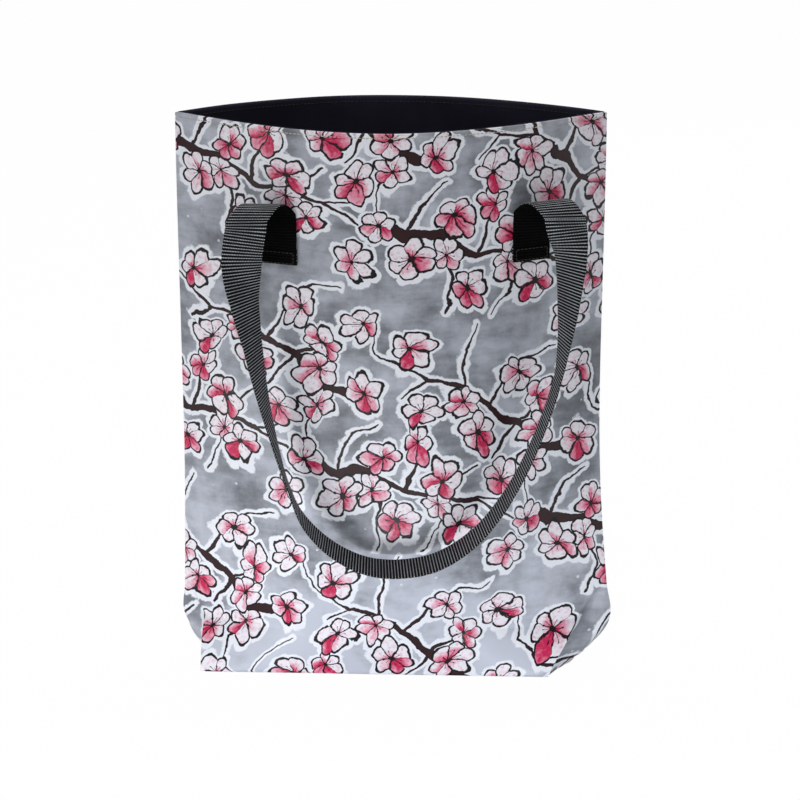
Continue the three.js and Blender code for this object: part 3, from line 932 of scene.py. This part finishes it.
def new_group(name, numbers, outputs):
    """A node group that takes a vector and named numbers, with their defaults, and has named outputs."""
    group = bpy.data.node_groups.new(name, "ShaderNodeTree")
    group.interface.new_socket("Vector", in_out="INPUT", socket_type=VECTOR)
    for label, default in numbers.items():
        group.interface.new_socket(label, in_out="INPUT", socket_type=FLOAT).default_value = default
    for label, kind in outputs.items():
        group.interface.new_socket(label, in_out="OUTPUT", socket_type=kind)
    wires = Wires(group)
    given, out = group.nodes.new("NodeGroupInput").outputs, group.nodes.new("NodeGroupOutput").inputs

    def give(**values):
        for label, value in values.items():
            wires.set(out[label], value)

    return wires, given, give


def bloom_group():
    """One flower of the print, from a place measured in radii. Its third part, z, tells flowers apart."""
    wires, given, give = new_group(
        "bloom", {}, {"Petal": FLOAT, "Line": FLOAT, "Blush": FLOAT, "Heart": FLOAT, "Halo": FLOAT})
    x, y, z = wires.parts(given["Vector"])
    r = wires.vector("LENGTH", given["Vector"])
    turn = z.times_plus(1200.0, wires.math("ARCTAN2", y, x))
    sector = 2 * math.pi / PETALS
    step = turn / sector
    index = wires.floor(step)
    half = (step - index - 0.5) * sector
    key = wires.join(index % float(PETALS), z * 1000.0)
    first, second, third = wires.parts(wires.node("TexWhiteNoise", {"Vector": key}).outputs["Color"])
    # The petal: its length, its bend and its outline
    reach = first.ramp(0.0, 1.0, 0.84, 1.0)
    half = (second - 0.5).times_plus(0.16, half)
    ahead = r * wires.cosine(half) / reach
    aside = r * wires.sine(half)
    out = (ahead - 0.54) / 0.46
    wide = aside * out.times_plus(0.22, 2.75)
    edge = wires.vector("LENGTH", wires.join(out, wide)) - 1.0
    petal = edge.ramp(0.02, -0.02)
    give(Petal=petal)
    give(Halo=y.times_plus(0.11, edge))
    # Drawn lines: rim, splits between petals, filaments with their tips, and the eye
    rim = abs(edge).ramp(0.15, 0.1)
    gap = r * wires.sine(sector / 2 - abs(half))
    split = abs(gap).ramp(0.04, 0.022) * petal
    spoke = abs(wires.sine(half * 7.0))
    fine = (spoke * r).ramp(0.09, 0.04) * r.ramp(0.4, 0.34)
    tips = abs(r - 0.38).ramp(0.05, 0.02) * spoke.ramp(0.5, 0.2)
    line = wires.maximum(wires.maximum(rim, split), wires.maximum(fine, tips))
    give(Line=wires.maximum(line, r.ramp(0.11, 0.07)))
    # Colour, deeper towards the eye and on one side
    lean = (third - 0.5) * (aside * 2.2)
    low = (second - 0.42).times_plus(0.9, y * 0.5)
    depth = r + lean + low
    give(Blush=depth.ramp(0.72, 0.22))
    give(Heart=spoke.times_plus(0.12, depth).ramp(0.4, 0.06))
    return wires.tree


def within_tile(wires, place, x, y):
    """The place's copy in the tile that has x and y as its middle."""
    wide, high = PRINT_TILE[0] / 2, PRINT_TILE[1] / 2
    return wires.vector("WRAP", place, (x + wide, y + high, 1.0), (x - wide, y - high, -1.0))


def flower_field(wires, place, flowers, offset):
    """Place within the nearest flower, in its radii."""
    best = nearest = None
    for index, (x, y, radius) in enumerate(flowers, offset):
        local = within_tile(wires, place, x, y)
        back = (-x / radius, -y / radius, 0.002 * index)
        local = wires.vector("MULTIPLY_ADD", local, (1 / radius, 1 / radius, 0.0), back)
        away = wires.vector("LENGTH", local)
        if best is None:
            best, nearest = local, away
            continue
        best = wires.pick(away < nearest, best, local)
        nearest = wires.minimum(away, nearest)
    return best


def stem_field(wires, place):
    """Distance to the nearest stem's edge, in millimetres."""
    nearest = None
    for (x0, y0, wide), (x1, y1, narrow) in (pair for stem in STEMS for pair in zip(stem, stem[1:])):
        wide, narrow = STEM_GIRTH * wide, STEM_GIRTH * narrow
        local = wires.vector("SUBTRACT", within_tile(wires, place, (x0 + x1) / 2, (y0 + y1) / 2), (x0, y0, 0.0))
        run = (x1 - x0, y1 - y0, 0.0)
        square = run[0] ** 2 + run[1] ** 2
        share = wires.vector("DOT_PRODUCT", local, (run[0] / square, run[1] / square, 0.0))
        share = share.math("ADD", 0.0, clamp=True)
        spot = wires.vector("SCALE", run, Scale=share)
        away = share.times_plus((wide - narrow) / 2, wires.vector("DISTANCE", local, spot)) - wide / 2
        nearest = away if nearest is None else wires.minimum(away, nearest)
    return nearest


def print_group():
    """The whole print, from a place on the cloth in metres, with painted light from the floor near the base."""
    colours = settings()[2]
    wires, given, give = new_group("blossom_print", {}, {"Color": COLOUR, "Ink": FLOAT})
    flat = place = wires.vector("SCALE", given["Vector"], Scale=1000.0)
    # The drawing is bent by broad waves, and its lines by an unsteady hand
    for scale, detail, reach in ((0.028, 1.0, 22.0), (0.16, 2.0, 3.6)):
        wave = wires.vector("SUBTRACT", wires.noise(flat, scale, detail)[1], (0.5, 0.5, 0.5))
        place = wires.vector("MULTIPLY_ADD", wave, (reach, reach, 0.0), place)
    place = wires.node("VectorRotate", {"Vector": place, "Angle": PRINT_SLANT}, rotation_type="Z_AXIS").outputs[0]
    place = wires.vector("MULTIPLY_ADD", place, (1.0, 1.0, 0.0), (*PRINT_SHIFT, 0.0))
    bloom = bloom_group()
    layers = []
    for flowers, offset in ((REAR_FLOWERS, 31), (FRONT_FLOWERS, 3)):
        node = wires.node("Group", node_tree=bloom)
        wires.set(node.inputs["Vector"], flower_field(wires, place, flowers, offset))
        layers.append(node.outputs)
    stem = stem_field(wires, place)

    # The clouded ground, with specks. On the faces near the base it is made paler with painted light from the
    # white floor
    cloud = wires.noise(flat, 0.016, 3.0, 0.55)[0]
    blot = wires.noise(flat, 0.085, 5.0, 0.7)[0]
    streak = wires.noise(wires.vector("MULTIPLY", flat, (0.25, 1.0, 1.0)), 0.09, 3.0, 0.6)[0]
    level = blot.times_plus(0.35, streak.times_plus(0.35, cloud))
    along, up, _ = wires.parts(given["Vector"])
    # Painted light: the faces, not the gussets, grow paler towards the base, standing for light thrown up from the
    # white floor
    painted_light_on_faces = abs(along).ramp(0.142, 0.118)
    level = painted_light_on_faces.times_plus(up.ramp(0.13, 0.02, 0.0, 0.24), level)
    colour = wires.blend(level.ramp(0.6, 1.12), colours.ground, colours.ground_light)
    specks = wires.node("TexVoronoi", {"Vector": flat, "Scale": 0.075, "Randomness": 1.0}).outputs
    spread = wires.parts(specks["Color"])[0]
    speck = spread.times_plus(-0.09, specks["Distance"]).ramp(0.03, 0.0)
    colour = wires.blend(speck * 0.6, colour, colours.halo)

    # Pale borders, stems, then the flowers over them
    fray = blot.times_plus(2.0, -1.0)
    halo = fray.times_plus(3.2, stem).ramp(3.6, 2.2)
    for layer in layers:
        halo = wires.maximum(halo, fray.times_plus(0.5, layer["Halo"]).ramp(0.66, 0.46))
    colour = wires.blend(halo, colour, colours.halo)
    ink = stem.ramp(0.15, -0.15)
    colour = wires.blend(ink, colour, wires.blend(stem.ramp(-0.9, -0.3), colours.stem, colours.ink))
    shade = wires.noise(flat, 0.3, 3.0, 0.6)[0]
    for layer in layers:
        worn = shade - 0.5
        blush = worn.times_plus(1.6, layer["Blush"], clamp=True)
        heart = worn.times_plus(1.2, layer["Heart"], clamp=True)
        petal = wires.blend(heart, wires.blend(blush, colours.petal, colours.blush), colours.heart)
        colour = wires.blend(layer["Petal"], colour, petal)
        colour = wires.blend(layer["Line"], colour, colours.ink)
        ink = wires.maximum(ink, layer["Line"])
    give(Color=colour, Ink=ink)
    return wires.tree


def weave_group():
    """Plain weave: how high the cloth stands, and which of its yarns lies on top."""
    wires, given, give = new_group("weave", {"Pitch": 0.0005}, {"Height": FLOAT, "Yarn": FLOAT})
    scale = wires.math("DIVIDE", math.pi, given["Pitch"])
    x, y, _ = wires.parts(wires.vector("SCALE", given["Vector"], Scale=scale))
    over = wires.sine(x) * wires.sine(y)
    ridge = wires.maximum(abs(wires.cosine(x)), abs(wires.cosine(y)))
    give(Height=abs(over).times_plus(0.7, ridge * 0.3))
    give(Yarn=over.times_plus(0.5, 0.5))
    return wires.tree


def wear_group():
    """Handling and dust: a soft uneven mask for roughness and tone."""
    wires, given, give = new_group("wear", {"Scale": 30.0}, {"Mask": FLOAT})
    broad = wires.noise(wires.vector("SCALE", given["Vector"], Scale=given["Scale"]), 1.0, 5.0, 0.6)[0]
    give(Mask=broad.ramp(0.35, 0.7))
    return wires.tree


class Cloth:
    """A material in the making, with the print coordinates and shared effects at hand."""

    def __init__(self, slot):
        self.material = bpy.data.materials.new(MATERIAL_NAME.format(slot))
        self.material.use_nodes = True
        self.wires = Wires(self.material.node_tree)
        self.shader = self.material.node_tree.nodes["Principled BSDF"]
        self.place = self.wires.node("UVMap", uv_map="print").outputs[0]

    def group(self, name, **inputs):
        """Outputs of a shared effect, which is made when first asked for. Its vector is the print coordinates."""
        tree = bpy.data.node_groups.get(name) or GROUPS[name]()
        return self.wires.flows(self.wires.node("Group", {"Vector": self.place, **inputs}, node_tree=tree).outputs)

    def relief(self, height, distance):
        bump = self.wires.node("Bump", {"Height": height, "Distance": distance})
        self.wires.set(self.shader.inputs["Normal"], bump.outputs[0])

    def put(self, **inputs):
        for key, value in inputs.items():
            self.wires.set(self.shader.inputs[key.replace("_", " ")], value)
        return self.material


MATERIAL_NAME = "bag_{}"
GROUPS = {"blossom_print": print_group, "weave": weave_group, "wear": wear_group}


def toned(colour, times):
    """A colour made lighter or darker."""
    return tuple(min(1.0, times * part) for part in colour[:3]) + (1.0,)


def print_material():
    cloth = Cloth("print_fabric")
    size, _, colours = settings()
    art, _ = cloth.group("blossom_print")
    worn, = cloth.group("wear", Scale=24.0)
    height, _ = cloth.group("weave", Pitch=0.0006)
    cloth.relief(height, 0.00003)
    turned = cloth.wires.parts(cloth.place)[1] > size.bag_height + 2 * HEM_HEIGHT
    colour = cloth.wires.blend(turned, art, colours.reverse)
    return cloth.put(
        Base_Color=colour, Roughness=worn.times_plus(0.12, 0.36), Specular_IOR_Level=0.25, Coat_Weight=0.16,
        Coat_Roughness=0.14)


def lining_material():
    cloth = Cloth("lining_fabric")
    shade = settings()[2].lining
    height, yarn = cloth.group("weave", Pitch=0.0012)
    worn, = cloth.group("wear", Scale=18.0)
    cloth.relief(height, 0.00008)
    colour = cloth.wires.blend(yarn.times_plus(0.5, worn * 0.4), shade, toned(shade, 3.4))
    return cloth.put(Base_Color=colour, Roughness=0.8, Specular_IOR_Level=0.2)


def webbing_material():
    cloth = Cloth("webbing")
    wires = cloth.wires
    _, hand, colours = settings()
    x, y, _ = wires.parts(cloth.place)
    crest = wires.cosine(y * (2 * math.pi / hand.rib_pitch)).times_plus(0.5, 0.5)
    row = wires.floor(y / hand.rib_pitch + 0.5) * math.pi
    yarn = wires.sine(x * (2 * math.pi / YARN_PITCH) + row).times_plus(0.5, 0.5)
    worn, = cloth.group("wear", Scale=60.0)
    inner = y > INNER_FACE_RIBS * hand.rib_pitch / 2
    # Light yarns show on top of the ribs and less where worn. On the inner face they are almost hidden, as painted
    # shade
    top = crest.ramp(0.68, 1.0) * yarn.ramp(0.15, 0.8, 0.16, 1.0) * inner.times_plus(-0.99, 1.0)
    top = top.math("MULTIPLY", worn.times_plus(0.35, 0.75), clamp=True)
    # Painted shade: the inner face takes the near-black painted-shade colour as its base
    base = wires.blend(inner, colours.webbing, colours.webbing_inner)
    colour = wires.blend(top, base, colours.webbing_light)
    cloth.relief(yarn * crest, 0.00015)
    gloss = inner.times_plus(0.35, worn.times_plus(0.15, 0.5), clamp=True)
    return cloth.put(Base_Color=colour, Roughness=gloss, Specular_IOR_Level=0.08)


def plain_material(slot):
    cloth = Cloth(slot)
    shade = getattr(settings()[2], slot)
    spot = cloth.wires.node("TexCoord").outputs["Object"]
    worn, = cloth.group("wear", Vector=spot, Scale=220.0)
    cloth.relief(cloth.wires.noise(spot, 2600.0, 1.0)[0], 0.00005)
    colour = cloth.wires.blend(worn, shade, toned(shade, 0.72))
    return cloth.put(Base_Color=colour, Roughness=0.9 if slot == "backing" else 0.7)


def slot_material(slot):
    """The material of a slot, made when first asked for."""
    makers = {"print_fabric": print_material, "lining_fabric": lining_material, "webbing": webbing_material}
    found = bpy.data.materials.get(MATERIAL_NAME.format(slot))
    return found or (makers[slot]() if slot in makers else plain_material(slot))


class BAG_OT_shell(bpy.types.Operator):
    """Makes the front and back panels of printed cloth"""

    bl_idname = "bag.shell"
    bl_label = "Printed shell"

    def execute(self, context):
        size = settings()[0]
        for place, side in SIDES:
            shell_panel(size, side).piece(f"shell_{place}", "print_fabric", f"outer_{place}_panel")
        return {"FINISHED"}


class BAG_OT_lining(bpy.types.Operator):
    """Makes the front and back panels of the lining"""

    bl_idname = "bag.lining"
    bl_label = "Lining"

    def execute(self, context):
        size = settings()[0]
        for place, side in SIDES:
            lining_panel(size, side).piece(f"lining_{place}", "lining_fabric", f"lining_{place}_panel")
        return {"FINISHED"}


class BAG_OT_rim_stitching(bpy.types.Operator):
    """Sews round the rim, pale outside and dark on the lining"""

    bl_idname = "bag.rim_stitching"
    bl_label = "Rim stitching"

    def execute(self, context):
        size = settings()[0]
        reach = size.panel_width / 2 - SEAM_GAP
        along = np.linspace(-reach, reach, 400)
        rows = (
            ("rim", "pale_thread", RIM_STITCH, -STITCH_LIFT),
            ("lining", "dark_thread", LINING_STITCH, LINING_DEPTHS[1] + STITCH_LIFT))
        for place, side in SIDES:
            for name, slot, below, depth in rows:
                line = wall_row(size, side, size.bag_height - below, along, depth)
                sewn(f"{name}_stitches_{place}", slot, f"{place}_{name}_topstitch", [line], THREAD_RADII[name])
        return {"FINISHED"}


class BAG_OT_seams(bpy.types.Operator):
    """Sews the side seams and the seam along the base"""

    bl_idname = "bag.seams"
    bl_label = "Seams"

    def execute(self, context):
        size = settings()[0]
        half = size.panel_width / 2
        depth, radius, share = 0.0006, THREAD_RADII["seam"], 0.8
        levels = heights((FOOT_RADIUS, size.bag_height - HEM_HEIGHT), [0.004])
        for place, end in ENDS:
            front, back = (
                np.array([wall_row(size, side, z, [side * end * half], depth)[0] for z in levels])
                for _, side in SIDES)
            sewn(f"seam_{place}", "pale_thread", f"{place}_seam_thread", [(front + back) / 2], radius, share)
        reach = half - size.base_depth / 2 - 0.003
        line = settled(1, np.array((-reach, reach)), np.zeros(2), depth)
        sewn("seam_base", "pale_thread", "bottom_seam_thread", [line], radius, share)
        return {"FINISHED"}


class BAG_OT_patches(bpy.types.Operator):
    """Lays a backing patch behind each sewn end"""

    bl_idname = "bag.patches"
    bl_label = "Backing patches"

    def execute(self, context):
        size, hand, _ = settings()
        reach = hand.webbing_width / 2 + PATCH_MARGIN
        top = hand.sewn_bottom + hand.sewn_height + PATCH_MARGIN
        levels = heights((hand.sewn_bottom - PATCH_MARGIN, top), [0.004])
        for corner, side, end in CORNERS:
            along = hand.shift + end * hand.spacing / 2 + np.linspace(-reach, reach, 13)
            layers = [np.array([wall_row(size, side, z, along, depth) for z in levels]) for depth in PATCH_DEPTHS]
            skin = Skin()
            skin.add_grid(layers[0])
            skin.add_grid(layers[1], flip=True)
            for pick in (np.s_[0], np.s_[-1], np.s_[:, 0], np.s_[:, -1]):
                skin.add_grid(np.stack([layer[pick] for layer in layers]))
            skin.piece(f"patch_{corner}", "backing", f"{corner}_backing_patch")
        return {"FINISHED"}


class BAG_OT_handles(bpy.types.Operator):
    """Makes the webbing handles: sewn ends with their risers, folds and hanging loops"""

    bl_idname = "bag.handles"
    bl_label = "Webbing handles"

    def execute(self, context):
        size, hand, _ = settings()
        tops, _, away = hinge_line(size, hand)
        edges = FOLD_JOINT, 2 * hand.fold_radius - FOLD_JOINT
        plane = np.array([tops[0] + away * edge for edge in edges])
        for place, side in SIDES:
            used = {}
            for part, end in ENDS:
                corner = f"{place}_{part}"
                path, level = riser_path(size, hand, end), (LEVEL_NONE, LEVEL_END)
                _, used[end] = webbing_piece(
                    hand, f"strap_end_{corner}", f"{corner}_strap_end", path, side, 0.0, level)
                path, level = fold_path(size, hand, end), (LEVEL_ALL, LEVEL_ALL)
                fold, used[end] = webbing_piece(
                    hand, f"fold_{corner}", f"{corner}_fold", path, side, used[end], level, body=None)
                start, finish = half_turned(plane, side)
                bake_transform(fold)
            path, level = loop_path(size, hand), (LEVEL_END, LEVEL_END)
            webbing_piece(
                hand, f"loop_{place}", f"{place}_handle", path, side, used[-1], level, body=f"{place}_loop")
        return {"FINISHED"}


class BAG_OT_box_stitches(bpy.types.Operator):
    """Sews a box of stitches through each sewn end"""

    bl_idname = "bag.box_stitches"
    bl_label = "Box stitches"

    def execute(self, context):
        size, hand, _ = settings()
        wide, high = hand.webbing_width / 2 - BOX_INSET, hand.sewn_height / 2 - BOX_INSET
        box = [(-wide, -high), (wide, -high), (wide, high), (-wide, high), (-wide, -high)]
        for corner, side, end in CORNERS:
            spot, across, out = sewn_frame(size, hand, end)
            face = spot + out * (2 * hand.webbing_thickness + STITCH_LIFT)
            line = half_turned(np.array([face + across * x + (0, 0, y) for x, y in box]), side)
            edges = [line[i:i + 2] for i in range(4)]
            sewn(f"box_stitch_{corner}", "dark_thread", f"{corner}_box_stitch", edges, THREAD_RADII["box"])
        return {"FINISHED"}


def aimed(name, data, place, way):
    """A new lamp or camera at its place that looks along its way."""
    obj = placed(name, data)
    obj.location = place
    obj.rotation_euler = way.to_track_quat("-Z", "Y").to_euler()
    return obj


class BAG_OT_stage(bpy.types.Operator):
    """Sets up the floor, the lamps, the white surroundings and the camera"""

    bl_idname = "bag.stage"
    bl_label = "Stage"

    def execute(self, context):
        scene = context.scene
        scene.view_settings.view_transform = "Standard"
        mesh = bpy.data.meshes.new("floor")
        square = [(x * FLOOR_REACH, y * FLOOR_REACH, 0) for x, y in ((-1, -1), (1, -1), (1, 1), (-1, 1))]
        mesh.from_pydata(square, [], [(0, 1, 2, 3)])
        placed("floor", mesh)
        material = bpy.data.materials.new("floor")
        material.use_nodes = True
        material.node_tree.nodes.clear()
        wires = Wires(material.node_tree)
        share = wires.math("MULTIPLY", wires.node("LightPath").outputs["Is Camera Ray"], FLOOR_WHITE)
        diffuse = wires.node("BsdfDiffuse", {"Color": (FLOOR_GREY, FLOOR_GREY, FLOOR_GREY, 1)}).outputs[0]
        glow = wires.node("Emission", {"Strength": 1.0}).outputs[0]
        blend = wires.node("MixShader", {0: share, 1: diffuse, 2: glow}).outputs[0]
        wires.node("OutputMaterial", {"Surface": blend})
        mesh.materials.append(material)

        scene.world = bpy.data.worlds.new("studio")
        scene.world.use_nodes = True
        wires = Wires(scene.world.node_tree)
        background = scene.world.node_tree.nodes["Background"]
        rays = wires.node("LightPath").outputs["Is Camera Ray"]
        level = wires.node("MapRange", {"Value": rays, "To Min": AROUND_LEVEL, "To Max": 1.0}).outputs["Result"]
        wires.set(background.inputs["Color"], (1, 1, 1, 1))
        wires.set(background.inputs["Strength"], level)

        for name, place, target, span, watts, tint in LAMPS:
            lamp = bpy.data.lights.new(name, "AREA")
            lamp.shape = "RECTANGLE"
            lamp.size, lamp.size_y = span
            lamp.energy, lamp.color = watts, tint
            aimed(name, lamp, place, Vector(target) - Vector(place))
        camera = bpy.data.cameras.new("camera")
        camera.sensor_width = SENSOR_WIDTH
        camera.lens = CAMERA_LENS
        back = Vector((0, -math.cos(CAMERA_ELEVATION), math.sin(CAMERA_ELEVATION)))
        scene.camera = aimed("camera", camera, Vector(CAMERA_TARGET) + back * CAMERA_DISTANCE, -back)
        return {"FINISHED"}


class BAG_PT_panel(bpy.types.Panel):
    """Sizes, colours and steps of the bag"""

    bl_idname = "BAG_PT_panel"
    bl_label = "Shopper bag"
    bl_space_type = "VIEW_3D"
    bl_region_type = "UI"
    bl_category = "Shopper bag"

    def draw(self, context):
        for group in (context.scene.bag_sizes, context.scene.handle_sizes, context.scene.bag_colours):
            box = self.layout.box()
            for key in group.__annotations__:
                box.prop(group, key)
        for operator in OPERATORS:
            self.layout.operator(operator.bl_idname)


OPERATORS = (
    BAG_OT_stage, BAG_OT_shell, BAG_OT_lining, BAG_OT_rim_stitching, BAG_OT_seams, BAG_OT_patches, BAG_OT_handles,
    BAG_OT_box_stitches)
CLASSES = (BagSizes, HandleSizes, BagColours, *OPERATORS, BAG_PT_panel)


def register():
    for item in CLASSES:
        bpy.utils.register_class(item)
    bpy.types.Scene.bag_sizes = PointerProperty(type=BagSizes)
    bpy.types.Scene.handle_sizes = PointerProperty(type=HandleSizes)
    bpy.types.Scene.bag_colours = PointerProperty(type=BagColours)


def unregister():
    del bpy.types.Scene.bag_sizes, bpy.types.Scene.handle_sizes, bpy.types.Scene.bag_colours
    for item in reversed(CLASSES):
        bpy.utils.unregister_class(item)


def main():
    """Builds the bag and its stage."""
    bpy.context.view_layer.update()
    register()
    for operator in OPERATORS:
        group, name = operator.bl_idname.split(".")
        getattr(getattr(bpy.ops, group), name)()


if __name__ == "__main__":
    main()
